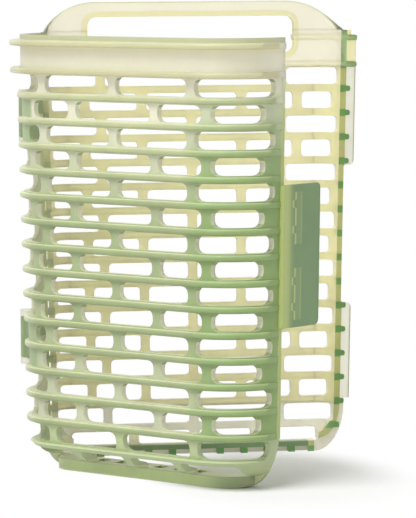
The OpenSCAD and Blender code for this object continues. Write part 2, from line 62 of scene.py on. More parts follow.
# Where a wall's colours change: each pair is where a mask is 0 and where it is 1. Several masks
# place painted light and painted shade
RIB_EDGE = (0.0017, 0.0012)
RIB_PROUD = (0.0003, 0.0009)
# The highest ribs are painted paler with light
RIB_HEIGHTS = (0.10, 0.145)
# Slot sides, painted paler with light
SLOT_TURNED = (0.85, 0.5)
SLOT_UPRIGHT = (0.6, 0.3)
RIM_DEPTH = (0.0007, 0.0004)
RIM_FACING = (0.8, 0.95)
STRIP_DEPTH = (0.0023, 0.0017)
STRIP_UPRIGHT = (0.8, 0.4)
STRIP_HEIGHTS = (0.170, 0.120)
# The highest and lowest rows of the front wall are painted paler with light
HIGH_ROWS = (0.095, 0.160)
LOW_ROWS, LOW_ROWS_SHARE = (0.062, 0.028), 0.4
# The latch corner of the front wall is painted in shade
LATCH_SIDE = (0.030, 0.046)
LATCH_HEIGHTS = (0.165, 0.105)
LATCH_LEDGE_SHARE = 0.5
# The hinge side of the front wall and its rim ends are painted paler with light
HINGE_SIDE, HINGE_SIDE_SHARE = (-0.040, -0.056), 0.65
HINGE_RIM, HINGE_RIM_SHARE = (0.0, -0.05), 0.55
# Faces that look up and faces that look down get their own colours of painted light and shade
LEVEL_FACE = (0.25, 0.8)

# The clouds and the drawn streaks in the plastic
CLOUD_SCALE = 70.0
STREAK_SCALE, STREAK_LENGTHENING, STREAK_SHARE = 420.0, 0.06, 0.25
CLOUD_GAIN = 4.0
NOISE_MEAN = 0.5
CLOUDED, BAND_CLOUD, CLEAR_CLOUD = 0.08, 0.04, 0.03

# The satin skin; at the seams between nodes its edges aren't softened
GLOSSIEST, DULLEST = 0.30, 0.44
GLOSS_SCALE, GLOSS_SPAN = 120.0, (0.3, 0.7)
GRAIN_SCALE, GRAIN_SHARE, RIPPLE_SCALE = 900.0, 0.3, 160.0
BUMP_STRENGTH, BUMP_HEIGHT = 0.015, 0.0006
EDGE_SAMPLES = 6
SEAM_EDGE = (0.0007, 0.0004)
PLASTIC_IOR = 1.49

# Painted reflection lines along the arch's and the rear tabs' edges, the bead, painted light where
# the catch bars show through, and the panels beside the hinge clips
ARCH_EDGE = (0.0008, 0.0002)
REAR_TAB_EDGE = (0.0006, 0.0002)
BEAD_EDGE = (0.0022, 0.0017)
BAR_START, BAR_END = (0.0042, 0.0048), (0.0246, 0.0240)
BAR_LINE, BAR_LINE_EDGE = 0.0053, (0.0007, 0.0003)
BAR_TOOTH = 0.0015
BAR_BACK, BAR_BACK_EDGE, BAR_BACK_SHARE = 0.0089, (0.0005, 0.0002), 0.45
BAR_NEAR, BAR_FAR = (0.0052, 0.0060), (0.0090, 0.0086)
CLIP_RIBS = (13, 4)
CLIP_ROW_EDGE = (RIB_PITCH, RIB_PITCH - 0.0005)
CLIP_SIDE, CLIP_SHARE = (-0.042, -0.045), 0.9

# Lines and shades of the front band, the front skirt and the latch tab
LIP_EDGE, LIP_SHARE = (FLANGE_Z + 0.0010, FLANGE_Z + 0.0014), 0.7
BAND_LINE_Z, BAND_LINE_EDGE, BAND_LINE_SHARE = FLANGE_Z - 0.0023, (0.0011, 0.0004), 0.35
FOOT_TOP, SKIRT_SHARE = (0.0048, 0.0062), 0.75
TAB_ROOT, TAB_ROOT_SHARE = (0.0055, -0.001), 0.8
TAB_END, TAB_END_SHARE = (LATCH_TAB_REACH - 0.0009, LATCH_TAB_REACH - 0.0004), 0.6
# Shares of the painted light where the catch bars show through the tab
BAR_SHARE, BAR_EDGE_SHARE = 0.35, 0.8

# Share of light that passes the thinner regions
REAR_WALL_GLOW = 0.5
REAR_TOP_GLOW = 0.85
REAR_SKIRT_GLOW = 0.4
REAR_TAB_GLOW = 0.8
PIN_GLOW = 0.6
CLIP_GLOW = 0.5
FRONT_BAND_GLOW = 0.4

# How much of the lime strip beside the rim shows
WALL_STRIP, BAND_STRIP, SKIRT_STRIP, TAB_STRIP = 0.8, 0.3, 0.5, 0.25

# Lamp, camera and floor
LAMP_SIZE = 1.4
LAMP_PLACE = (-0.8, -0.8, 1.7)
LAMP_AIM = (0.0, -0.03, 0.08)
SENSOR_HEIGHT = 24.0
VIEW_END = 100.0
FLOOR_SIZE = 60.0
FLOOR_ROUGH = 0.9
SPECK_SCALE, SPECK_SHARE, SPECK_TONE = 40.0, 0.04, (0.85, 0.85, 0.85, 1.0)
SHADOW_SHIFT, SHADOW_SQUEEZE = (-0.035, 0.07, 0.0), (1.6, 1.0, 1.0)
SHADOW_END = (0.045, 0.09)
WHITE = (1.0, 1.0, 1.0, 1.0)

# Socket kinds, and the colours that one finish gives to the group "Moulded tint", some of them
# painted light and painted shade by the way a face lies
COLOUR, NUMBER, VECTOR = "NodeSocketColor", "NodeSocketFloat", "NodeSocketVector"
SHADES = ("Wall", "Latch Corner", "Hinge Side", "Top", "Rib", "Rib Top", "Ledge", "Underside",
          "Slot Side", "Strip", "Rim Wall", "Rim Rib")


def tint(name, about, value):
    """One colour of the settings, in linear light."""
    return FloatVectorProperty(name=name, description=about, subtype="COLOR", size=3,
                               min=0.0, max=1.0, default=value)


class KeeperColours(bpy.types.PropertyGroup):
    """Colours of the translucent plastic, as thick or thin as each region shows it, with painted
    light and painted shade on some faces and regions
    """
    sage_light: tint("Light sage", "Front wall", (0.42, 0.50, 0.27))
    # Painted shade: the front wall darker and greener towards the latch corner
    shaded_latch_sage: tint("Shaded latch sage", "Front wall in the latch corner", (0.32, 0.455, 0.175))
    # Painted light: the highest and lowest rows of the front wall paler
    lit_rows: tint("Lit rows", "Front wall in its highest and lowest rows", (0.97, 0.94, 0.76))
    # Painted light: the front wall paler towards the hinge side
    lit_hinge_side: tint("Lit hinge side", "Front wall on the hinge side", (0.84, 0.84, 0.60))
    clip_green: tint("Clip green", "Hinge clips and the wall beside them", (0.36, 0.47, 0.22))
    rib_mid: tint("Rib middle", "Outer faces of the front ribs", (0.375, 0.45, 0.225))
    # Painted light: the highest ribs paler, like the rows round them; also the colour of the front
    # lip
    rib_high: tint("Rib top", "Highest front ribs and the front lip", (0.55, 0.58, 0.33))
    # Painted highlight on the upper sides of the ribs and on all ledges, and a painted reflection
    # line along the arch's edge
    ledge_sheen: tint("Ledge sheen", "Upper sides of the ribs, edge of the arch", (0.76, 0.79, 0.50))
    # Painted shade on the lower sides of the ribs; also a green of the floor faces and of the
    # catch bars seen through the tab
    leaf_shade: tint("Leaf shade", "Lower sides of the ribs", (0.40, 0.48, 0.22))
    lime_edge: tint("Lime edge", "Rim strip and lines of light in the plastic", (0.60, 0.69, 0.25))
    # Painted light: the thin slot sides made pale where the lamp alone leaves them in shade
    lit_slot_side: tint("Lit slot side", "Thin side faces of the slots", (0.95, 0.92, 0.74))
    cream: tint("Cream", "Front band and rear skirt", (0.98, 0.95, 0.80))
    flange: tint("Flange", "Flanges of the front band", (0.70, 0.67, 0.40))
    butter: tint("Butter", "Rear bars and beads", (0.94, 0.89, 0.53))
    porcelain: tint("Porcelain", "Rear band and handle arch", (0.99, 0.95, 0.77))
    frost: tint("Frost", "Rear tabs and hinge pins", (0.93, 0.92, 0.78))
    straw: tint("Straw", "End faces of the walls", (0.56, 0.585, 0.215))
    rib_green: tint("Rib green", "End faces of the ribs", (0.135, 0.36, 0.09))
    rim_green: tint("Rim green", "End faces of the rear band and the arch", (0.35, 0.64, 0.27))
    band_green: tint("Band green", "Front skirt above the foot band", (0.55, 0.64, 0.36))
    mist: tint("Mist", "Latch tab and rear floor", (0.225, 0.355, 0.165))
    olive: tint("Olive", "Foot band and front floor", (0.74, 0.87, 0.44))
    # Painted reflection: a thin darker line along the rear tabs' outer edge
    outline: tint("Outline", "Thin darker edge of the rear tabs", (0.50, 0.52, 0.32))


class KeeperFinish(bpy.types.PropertyGroup):
    """Surface values of the plastic"""
    rough_low: FloatProperty(name="Glossiest", description="Lowest roughness of the satin skin",
                             default=GLOSSIEST, min=0.05, max=1.0, subtype="FACTOR")
    rough_high: FloatProperty(name="Dullest", description="Highest roughness of the satin skin",
                              default=DULLEST, min=0.05, max=1.0, subtype="FACTOR")
    glow: FloatProperty(name="Translucency", description="Share of light that passes the plastic",
                        default=0.22, min=0.0, max=1.0, subtype="FACTOR")
    edge_radius: FloatProperty(name="Edge rounding", description="Radius of the softened edges",
                               default=0.0003, min=0.0, max=0.001, unit="LENGTH")


class KeeperStage(bpy.types.PropertyGroup):
    """Camera, light and floor"""
    eye: FloatVectorProperty(name="Eye", description="Place of the camera", size=3, unit="LENGTH",
                             default=(-0.2264, -1.39396, 0.2085))
    heading: FloatProperty(name="Heading", description="Turn of the view from +Y towards +X",
                           default=math.radians(9.44), subtype="ANGLE")
    pitch: FloatProperty(name="Pitch", description="Downward tilt of the view",
                         default=math.radians(5.23), subtype="ANGLE")
    roll: FloatProperty(name="Roll", description="Turn of the camera about its own view",
                        default=math.radians(-0.25), subtype="ANGLE")
    lens: FloatProperty(name="Lens", description="Focal length on a sensor 24 mm high",
                        default=162.64, min=10.0)
    sky: FloatProperty(name="Sky", description="Strength of the even light from all sides",
                       default=0.58, min=0.0)
    key: FloatProperty(name="Key light", description="Power of the large soft lamp", default=35.0,
                       min=0.0, unit="POWER")
    floor_tone: tint("Floor", "Colour of the floor", (0.80, 0.80, 0.795))


class KeeperSettings(bpy.types.PropertyGroup):
    """Everything a user would change"""
    colours: PointerProperty(type=KeeperColours)
    finish: PointerProperty(type=KeeperFinish)
    stage: PointerProperty(type=KeeperStage)


# Helpers that place shader nodes

def add(tree, kind, inputs=None, **options):
    """Adds a node, sets its options, and fills or links its inputs."""
    node = tree.nodes.new(kind)
    for key, value in options.items():
        setattr(node, key, value)
    for key, value in (inputs or {}).items():
        if isinstance(value, bpy.types.NodeSocket):
            tree.links.new(value, node.inputs[key])
        else:
            node.inputs[key].default_value = value
    return node


def calc(tree, operation, a, b=0.0):
    """A Math node's result."""
    return add(tree, "ShaderNodeMath", {0: a, 1: b}, operation=operation).outputs[0]


def times(tree, first, *others):
    """The product of several values."""
    for other in others:
        first = calc(tree, "MULTIPLY", first, other)
    return first


def apart(tree, value, centre):
    """The distance of a value from a centre."""
    return calc(tree, "ABSOLUTE", calc(tree, "SUBTRACT", value, centre))


def fade(tree, value, low, high):
    """A smooth step from 0 at low to 1 at high; low may be the larger."""
    if low <= high:
        ends = {"From Min": low, "From Max": high}
    else:
        ends = {"From Min": high, "From Max": low, "To Min": 1.0, "To Max": 0.0}
    return add(tree, "ShaderNodeMapRange", {"Value": value, **ends},
               interpolation_type="SMOOTHSTEP").outputs["Result"]


def mix(tree, factor, a, b, blend="MIX"):
    """A colour mix."""
    return add(tree, "ShaderNodeMix", {0: factor, 6: a, 7: b}, data_type="RGBA",
               blend_type=blend).outputs[2]


def axes(tree, vector):
    """The three parts of a vector, by the names X, Y and Z."""
    return add(tree, "ShaderNodeSeparateXYZ", {0: vector}).outputs


def noise(tree, place, scale, **others):
    """A noise texture's value."""
    inputs = {"Vector": place, "Scale": scale}
    inputs.update({key.title(): value for key, value in others.items()})
    return add(tree, "ShaderNodeTexNoise", inputs).outputs[0]


def vector_math(tree, operation, a, b=None):
    """A Vector Math node's outputs."""
    inputs = {0: a} if b is None else {0: a, 1: b}
    return add(tree, "ShaderNodeVectorMath", inputs, operation=operation).outputs


def paint(colour):
    """A settings colour as the four numbers of a socket."""
    return (colour[0], colour[1], colour[2], 1.0)


def new_group(name, inputs, outputs):
    """An empty shader node group with named sockets, its tree, and its inner ends."""
    tree = bpy.data.node_groups.new(name, "ShaderNodeTree")
    for label, kind, value in inputs:
        socket = tree.interface.new_socket(name=label, in_out="INPUT", socket_type=kind)
        if value is not None:
            socket.default_value = value
    for label, kind in outputs:
        tree.interface.new_socket(name=label, in_out="OUTPUT", socket_type=kind)
    entry, end = tree.nodes.new("NodeGroupInput"), tree.nodes.new("NodeGroupOutput")
    return tree, entry.outputs, end.inputs


def use(tree, name, maker, inputs, *values):
    """The outputs of a node group, which is made the first time it is asked for."""
    made = bpy.data.node_groups.get(name) or maker(name, *values)
    return add(tree, "ShaderNodeGroup", inputs, node_tree=made).outputs


# Node groups

def rib_mask(tree, height):
    """1 at the ribs' heights, 0 between them."""
    step = calc(tree, "DIVIDE", calc(tree, "SUBTRACT", height, LOW_RIB_Z), RIB_PITCH)
    part = calc(tree, "SUBTRACT", calc(tree, "FRACT", calc(tree, "ADD", step, 0.5)), 0.5)
    return fade(tree, times(tree, calc(tree, "ABSOLUTE", part), RIB_PITCH), *RIB_EDGE)


def lean_in(tree, height):
    """How far the drafted wall has come in at a height below the top flange."""
    return times(tree, calc(tree, "SUBTRACT", FLANGE_Z, height), DRAFT)


def tint_group(name):
    """Colour of a moulded wall by the way it faces: wall, ledge, underside, slot side and rim,
    with painted light and painted shade by facing and by region.
    """
    sockets = [("Place", VECTOR, None), ("Turn", NUMBER, 0.0),
               ("Straight", NUMBER, FRONT_STRAIGHT), ("Radius", NUMBER, FRONT_R),
               ("Strip Share", NUMBER, 0.0), ("Cloud", NUMBER, CLOUDED)]
    sockets += [(label, COLOUR, None) for label in SHADES]
    tree, given, result = new_group(name, sockets, [("Color", COLOUR)])
    place = axes(tree, given["Place"])
    facing = add(tree, "ShaderNodeVectorTransform",
                 {0: add(tree, "ShaderNodeNewGeometry").outputs["Normal"]},
                 vector_type="NORMAL", convert_from="WORLD", convert_to="OBJECT").outputs[0]
    facing = add(tree, "ShaderNodeVectorRotate", {"Vector": facing, "Angle": given["Turn"]},
                 rotation_type="Z_AXIS").outputs[0]
    normal = axes(tree, facing)
    level = calc(tree, "ABSOLUTE", normal["Z"])

    # The outward direction of the plan, and how far a point stands proud of the wall
    past = calc(tree, "SUBTRACT", calc(tree, "ABSOLUTE", place["X"]), given["Straight"])
    over = times(tree, calc(tree, "MAXIMUM", past, 0.0), calc(tree, "SIGN", place["X"]))
    spoke = add(tree, "ShaderNodeCombineXYZ", {"X": over, "Y": place["Y"], "Z": 0.0}).outputs[0]
    reach = vector_math(tree, "LENGTH", spoke)["Value"]
    proud = calc(tree, "ADD", calc(tree, "SUBTRACT", reach, given["Radius"]),
                 lean_in(tree, place["Z"]))
    outward = vector_math(tree, "NORMALIZE", spoke)["Vector"]
    along = vector_math(tree, "DOT_PRODUCT", facing, outward)["Value"]
    square = calc(tree, "ABSOLUTE", along)

    # Masks of the slot sides, the rim faces, the strip beside the rim and the two ends
    slot = times(tree, fade(tree, square, *SLOT_TURNED), fade(tree, level, *SLOT_UPRIGHT))
    deep = calc(tree, "ABSOLUTE", place["Y"])
    rim = times(tree, fade(tree, deep, *RIM_DEPTH),
                fade(tree, calc(tree, "ABSOLUTE", normal["Y"]), *RIM_FACING))
    strip = times(tree, fade(tree, deep, *STRIP_DEPTH), given["Strip Share"],
                  fade(tree, level, *STRIP_UPRIGHT), fade(tree, place["Z"], *STRIP_HEIGHTS))
    latch = times(tree, fade(tree, place["X"], *LATCH_SIDE),
                  fade(tree, place["Z"], *LATCH_HEIGHTS))
    hinge = times(tree, fade(tree, place["X"], *HINGE_SIDE), HINGE_SIDE_SHARE)

    # Wall and ribs by height, then the ends, and the faces that look aside, up and down. Painted
    # light makes the highest and lowest rows, the highest ribs, the hinge side and the slot sides
    # paler; painted shade darkens the latch corner; faces that look up and down get painted
    # highlight and shade
    low = times(tree, fade(tree, place["Z"], *LOW_ROWS), LOW_ROWS_SHARE)
    pale = calc(tree, "MAXIMUM", fade(tree, place["Z"], *HIGH_ROWS), low)
    colour = mix(tree, pale, given["Wall"], given["Top"])
    rib = mix(tree, fade(tree, place["Z"], *RIB_HEIGHTS), given["Rib"], given["Rib Top"])
    colour = mix(tree, fade(tree, proud, *RIB_PROUD), colour, rib)
    # Painted shade over the latch corner
    colour = mix(tree, latch, colour, given["Latch Corner"])
    # Painted light over the hinge side
    colour = mix(tree, hinge, colour, given["Hinge Side"])
    # Slot sides painted paler with light
    colour = mix(tree, slot, colour, given["Slot Side"])
    # Painted highlight on faces that look up, then painted light and shade on faces that look down
    colour = mix(tree, fade(tree, normal["Z"], *LEVEL_FACE), colour, given["Ledge"])
    down = times(tree, normal["Z"], -1.0)
    colour = mix(tree, fade(tree, down, *LEVEL_FACE), colour, given["Underside"])
    # Painted shade again on the ledges and undersides of the latch corner, less on the slot sides
    latch_ledge_shade = times(tree, latch, calc(tree, "SUBTRACT", LATCH_LEDGE_SHARE,
                                   times(tree, slot, LATCH_LEDGE_SHARE)))
    colour = mix(tree, latch_ledge_shade, colour, given["Latch Corner"])
    colour = mix(tree, strip, colour, given["Strip"])

    # Rim faces, with the ends of the ribs and the top flange
    flange = fade(tree, apart(tree, place["Z"], FLANGE_Z), *RIB_EDGE)
    rib_end = calc(tree, "MAXIMUM", rib_mask(tree, place["Z"]), flange)
    ends = mix(tree, rib_end, given["Rim Wall"], given["Rim Rib"])
    # Rim ends on the hinge side painted paler with light
    ends = mix(tree, times(tree, fade(tree, place["X"], *HINGE_RIM), HINGE_RIM_SHARE), ends,
               given["Slot Side"])
    colour = mix(tree, rim, colour, ends)

    # Clouds and drawn streaks
    cloud = noise(tree, given["Place"], CLOUD_SCALE, detail=3.0, roughness=0.55)
    drawn = add(tree, "ShaderNodeMapping", {"Vector": given["Place"],
                                            "Scale": (1.0, 1.0, STREAK_LENGTHENING)}).outputs[0]
    streak = noise(tree, drawn, STREAK_SCALE, detail=2.0)
    both = calc(tree, "ADD", cloud,
                times(tree, calc(tree, "SUBTRACT", streak, NOISE_MEAN), STREAK_SHARE))
    shift = times(tree, calc(tree, "SUBTRACT", both, NOISE_MEAN), given["Cloud"])
    tone = calc(tree, "ADD", 1.0, times(tree, shift, CLOUD_GAIN))
    colour = mix(tree, 1.0, colour, tone, "MULTIPLY")
    tree.links.new(colour, result["Color"])
    return tree


def skin_group(name, radius):
    """Satin skin of the mould: soft edges, a fine grain and clouded gloss."""
    tree, given, result = new_group(name, [
        ("Place", VECTOR, None), ("Straight", NUMBER, FRONT_STRAIGHT),
        ("Glossiest", NUMBER, GLOSSIEST), ("Dullest", NUMBER, DULLEST),
        ("Grain", NUMBER, BUMP_STRENGTH)],
        [("Roughness", NUMBER), ("Normal", VECTOR)])
    place = axes(tree, given["Place"])
    cloud = noise(tree, given["Place"], GLOSS_SCALE, detail=4.0)
    rough = add(tree, "ShaderNodeMapRange", {
        "Value": cloud, "From Min": GLOSS_SPAN[0], "From Max": GLOSS_SPAN[1],
        "To Min": given["Glossiest"], "To Max": given["Dullest"]}).outputs["Result"]
    tree.links.new(rough, result["Roughness"])
    grain = noise(tree, given["Place"], GRAIN_SCALE, detail=2.0)
    ripple = noise(tree, given["Place"], RIPPLE_SCALE, detail=1.0)
    height = calc(tree, "ADD", times(tree, grain, GRAIN_SHARE), ripple)
    soft = add(tree, "ShaderNodeBevel", {"Radius": radius}, samples=EDGE_SAMPLES).outputs[0]
    plain = add(tree, "ShaderNodeNewGeometry").outputs["Normal"]
    wide = calc(tree, "ABSOLUTE", place["X"])
    seam = fade(tree, apart(tree, wide, given["Straight"]), *SEAM_EDGE)
    for level in (BAND_Z, BASE_Z, RIM_Z):
        near = fade(tree, apart(tree, place["Z"], level), *SEAM_EDGE)
        seam = calc(tree, "MAXIMUM", seam, near)
    base = add(tree, "ShaderNodeMix", {0: seam, 4: soft, 5: plain}, data_type="VECTOR").outputs[1]
    bump = add(tree, "ShaderNodeBump", {"Strength": given["Grain"], "Distance": BUMP_HEIGHT,
                                        "Height": height, "Normal": base})
    tree.links.new(bump.outputs[0], result["Normal"])
    return tree


def rounded(tree, across, up):
    """The distance from the centre of a rounded corner; across counts only beyond it."""
    across = calc(tree, "MAXIMUM", across, 0.0)
    return calc(tree, "SQRT", calc(tree, "ADD", times(tree, across, across), times(tree, up, up)))


def outline_group(name):
    """Masks of thin outlines of painted reflection: the arch's edge, and the outer edge of the
    rear tabs.
    """
    tree, given, result = new_group(name, [("Place", VECTOR, None)],
                                    [("Arch", NUMBER), ("Tab", NUMBER)])
    place = axes(tree, given["Place"])
    over = calc(tree, "SUBTRACT", calc(tree, "ABSOLUTE", place["X"]), SHOULDER_X)
    rise = calc(tree, "SUBTRACT", place["Z"], ARCH_Z - SHOULDER_R)
    inward = calc(tree, "SUBTRACT", SHOULDER_R, rounded(tree, over, rise))
    tree.links.new(fade(tree, inward, *ARCH_EDGE), result["Arch"])
    edge = calc(tree, "SUBTRACT", HALF_W + REAR_TAB_REACH, lean_in(tree, place["Z"]))
    away = calc(tree, "SUBTRACT", edge, place["X"])
    tree.links.new(fade(tree, away, *REAR_TAB_EDGE), result["Tab"])
    return tree


def bead_group(name):
    """Mask of the bead round the hand hole, a band beside its rounded outline."""
    tree, given, result = new_group(name, [("Place", VECTOR, None)], [("Bead", NUMBER)])
    place = axes(tree, given["Place"])
    across = calc(tree, "SUBTRACT", calc(tree, "ABSOLUTE", place["X"]), HOLE_HALF_W - HOLE_R)
    up = calc(tree, "SUBTRACT", apart(tree, place["Z"], HOLE_MIDDLE), HOLE_HALF_H - HOLE_R)
    corner = rounded(tree, across, calc(tree, "MAXIMUM", up, 0.0))
    away = calc(tree, "SUBTRACT", corner, HOLE_R)
    tree.links.new(fade(tree, away, *BEAD_EDGE), result["Bead"])
    return tree


def catch_group(name):
    """Masks of painted light where the catch bars show through the latch tab: lines along their
    toothed edge and back, and their body.
    """
    tree, given, result = new_group(name, [("Place", VECTOR, None)],
                                    [("Edge", NUMBER), ("Bar", NUMBER)])
    place = axes(tree, given["Place"])
    middle = apart(tree, place["Z"], LATCH_TAB_MIDDLE)
    span = times(tree, fade(tree, middle, *BAR_START), fade(tree, middle, *BAR_END))
    tooth = times(tree, rib_mask(tree, place["Z"]), BAR_TOOTH)
    line = calc(tree, "SUBTRACT", BAR_LINE, tooth)
    edge = fade(tree, apart(tree, place["Y"], line), *BAR_LINE_EDGE)
    back = fade(tree, apart(tree, place["Y"], BAR_BACK), *BAR_BACK_EDGE)
    both = calc(tree, "MAXIMUM", edge, times(tree, back, BAR_BACK_SHARE))
    tree.links.new(times(tree, both, span), result["Edge"])
    body = times(tree, fade(tree, place["Y"], *BAR_NEAR), fade(tree, place["Y"], *BAR_FAR))
    tree.links.new(times(tree, body, span), result["Bar"])
    return tree


# Materials

def shades(wall, **others):
    """The colours of one finish, by label; what isn't given is as the wall."""
    given = {key.replace("_", " ").title(): colour for key, colour in others.items()}
    return {label: paint(given.get(label, wall)) for label in SHADES}


def plastic(name, half, colours, straight=None, share=0.0, glow=None, cloud=CLOUDED, extra=None):
    """A material of the moulded plastic in the frame of one half."""
    finish = bpy.context.scene.keeper.finish
    material = bpy.data.materials.new(name)
    material.use_nodes = True
    tree = material.node_tree
    shader = tree.nodes["Principled BSDF"]
    front = half == "front"
    turn = OPEN if front else 0.0
    straight = straight or (FRONT_STRAIGHT if front else REAR_STRAIGHT)
    spin = Matrix.Rotation(turn, 4, "Z")
    shift = Vector((HINGE_X, 0.0, 0.0)) - spin @ Vector((HINGE_X, RIM_Y, 0.0))
    place = add(tree, "ShaderNodeMapping",
                {"Vector": add(tree, "ShaderNodeTexCoord").outputs["Object"],
                 "Location": shift, "Rotation": (0.0, 0.0, turn)}).outputs[0]
    wash = use(tree, "Moulded tint", tint_group, {
        **colours, "Place": place, "Turn": turn, "Straight": straight,
        "Radius": FRONT_R if front else REAR_R, "Strip Share": share, "Cloud": cloud})
    skin = use(tree, "Satin skin", skin_group, {
        "Place": place, "Straight": straight, "Glossiest": finish.rough_low,
        "Dullest": finish.rough_high}, finish.edge_radius)
    colour = wash["Color"]
    if extra:
        colour = extra(tree, place, colour)
    tree.links.new(colour, shader.inputs["Base Color"])
    tree.links.new(skin["Roughness"], shader.inputs["Roughness"])
    tree.links.new(skin["Normal"], shader.inputs["Normal"])
    shader.inputs["IOR"].default_value = PLASTIC_IOR
    shader.inputs["Transmission Weight"].default_value = finish.glow if glow is None else glow
    return material


def dress(node_name, half, colours, **options):
    """Gives a CAD node its finish."""
    piece = frame["nodes"].get(node_name)
    if piece is None:
        raise RuntimeError("the frame has no node named " + node_name)
    piece.data.materials.clear()
    piece.data.materials.append(plastic(node_name + "_plastic", half, colours, **options))


class KEEPER_OT_rear_walls(bpy.types.Operator):
    """Finishes the slotted walls of the rear half"""
    bl_idname = "keeper.rear_walls"
    bl_label = "Rear walls"

    def execute(self, context):
        c = context.scene.keeper.colours
        wall = shades(c.butter, underside=c.lime_edge, slot_side=c.lit_slot_side, strip=c.straw,
                      rim_wall=c.straw, rim_rib=c.rib_green)
        for name in ("rear_grille", "rear_hinge_corner", "rear_latch_corner"):
            dress(name, "rear", wall, glow=REAR_WALL_GLOW)
        return {"FINISHED"}


class KEEPER_OT_rear_top(bpy.types.Operator):
    """Finishes the top band and the handle arch of the rear half"""
    bl_idname = "keeper.rear_top"
    bl_label = "Rear band and handle"

    def execute(self, context):
        c = context.scene.keeper.colours

        def beaded(tree, place, colour):
            bead = use(tree, "Hand hole bead", bead_group, {"Place": place})["Bead"]
            return mix(tree, bead, colour, paint(c.butter))

        # The arch's edge gets a painted reflection line
        def edged(tree, place, colour):
            line = use(tree, "Edge outline", outline_group, {"Place": place})["Arch"]
            return mix(tree, line, beaded(tree, place, colour), paint(c.ledge_sheen))

        band = shades(c.porcelain, rib=c.butter, rib_top=c.butter, ledge=c.butter,
                      underside=c.butter, slot_side=c.butter, rim_wall=c.rim_green,
                      rim_rib=c.rim_green)
        arch = shades(c.porcelain, underside=c.butter, slot_side=c.butter, rim_wall=c.rim_green,
                      rim_rib=c.rim_green)
        clear = {"glow": REAR_TOP_GLOW, "cloud": CLEAR_CLOUD}
        dress("rear_top_band", "rear", band, extra=beaded, **clear)
        dress("rear_handle", "rear", arch, extra=edged, **clear)
        return {"FINISHED"}


class KEEPER_OT_rear_foot(bpy.types.Operator):
    """Finishes the skirt and the floor of the rear half"""
    bl_idname = "keeper.rear_foot"
    bl_label = "Rear skirt and floor"

    def execute(self, context):
        c = context.scene.keeper.colours
        skirt = shades(c.cream, ledge=c.butter, underside=c.lime_edge, slot_side=c.lit_slot_side,
                       strip=c.straw, rim_wall=c.straw, rim_rib=c.rib_green)
        floor = shades(c.mist, ledge=c.leaf_shade, underside=c.leaf_shade, slot_side=c.leaf_shade,
                       rim_wall=c.mist, rim_rib=c.rib_green)
        dress("rear_skirt", "rear", skirt, glow=REAR_SKIRT_GLOW)
        dress("rear_floor", "rear", floor)
        return {"FINISHED"}


class KEEPER_OT_rear_tabs(bpy.types.Operator):
    """Finishes the two tabs on the latch side of the rear half"""
    bl_idname = "keeper.rear_tabs"
    bl_label = "Rear tabs"

    def execute(self, context):
        c = context.scene.keeper.colours

        # The tabs' outer edge gets a darker painted reflection line
        def edged(tree, place, colour):
            line = use(tree, "Edge outline", outline_group, {"Place": place})["Tab"]
            return mix(tree, line, colour, paint(c.outline))

        for name in ("rear_upper_tab", "rear_lower_tab"):
            dress(name, "rear", shades(c.frost), glow=REAR_TAB_GLOW, extra=edged)
        return {"FINISHED"}


class KEEPER_OT_hinges(bpy.types.Operator):
    """Finishes the hinge pins and the clips that turn on them"""
    bl_idname = "keeper.hinges"
    bl_label = "Hinge pins and clips"

    def execute(self, context):
        c = context.scene.keeper.colours
        pin = shades(c.frost, underside=c.lit_slot_side)
        clip = shades(c.clip_green, underside=c.leaf_shade)
        for level in ("upper", "lower"):
            dress(level + "_hinge_pin", "rear", pin, glow=PIN_GLOW)
            dress(level + "_hinge_clip", "front", clip, glow=CLIP_GLOW)
        return {"FINISHED"}


class KEEPER_OT_front_walls(bpy.types.Operator):
    """Finishes the slotted walls of the front half"""
    bl_idname = "keeper.front_walls"
    bl_label = "Front walls"

    def execute(self, context):
        c = context.scene.keeper.colours
        wall = shades(c.sage_light, latch_corner=c.shaded_latch_sage, hinge_side=c.lit_hinge_side,
                      top=c.lit_rows, rib=c.rib_mid, rib_top=c.rib_high, ledge=c.ledge_sheen,
                      underside=c.leaf_shade, slot_side=c.lit_slot_side, strip=c.lime_edge,
                      rim_wall=c.straw, rim_rib=c.rib_green)

        def clipped(tree, place, colour):
            at = axes(tree, place)
            upper, lower = (
                fade(tree, apart(tree, at["Z"], LOW_RIB_Z + rib * RIB_PITCH), *CLIP_ROW_EDGE)
                for rib in CLIP_RIBS)
            between = calc(tree, "SUBTRACT", 1.0, rib_mask(tree, at["Z"]))
            panel = times(tree, calc(tree, "MAXIMUM", upper, lower),
                          fade(tree, at["X"], *CLIP_SIDE), between, CLIP_SHARE)
            return mix(tree, panel, colour, paint(c.clip_green))

        for name in ("front_grille", "front_latch_corner"):
            dress(name, "front", wall, share=WALL_STRIP)
        dress("front_hinge_corner", "front", wall, share=WALL_STRIP, extra=clipped)
        return {"FINISHED"}


class KEEPER_OT_front_top(bpy.types.Operator):
    """Finishes the top band of the front half"""
    bl_idname = "keeper.front_top"
    bl_label = "Front band"

    def execute(self, context):
        c = context.scene.keeper.colours

        def lipped(tree, place, colour):
            height = axes(tree, place)["Z"]
            lip = times(tree, fade(tree, height, *LIP_EDGE), LIP_SHARE)
            colour = mix(tree, lip, colour, paint(c.rib_high))
            line = fade(tree, apart(tree, height, BAND_LINE_Z), *BAND_LINE_EDGE)
            return mix(tree, times(tree, line, BAND_LINE_SHARE), colour, paint(c.butter))

        band = shades(c.cream, rib=c.flange, rib_top=c.flange, ledge=c.ledge_sheen,
                      underside=c.flange, slot_side=c.flange, strip=c.flange, rim_wall=c.straw,
                      rim_rib=c.rib_green)
        dress("front_top_band", "front", band, share=BAND_STRIP, glow=FRONT_BAND_GLOW,
              cloud=BAND_CLOUD, extra=lipped)
        return {"FINISHED"}


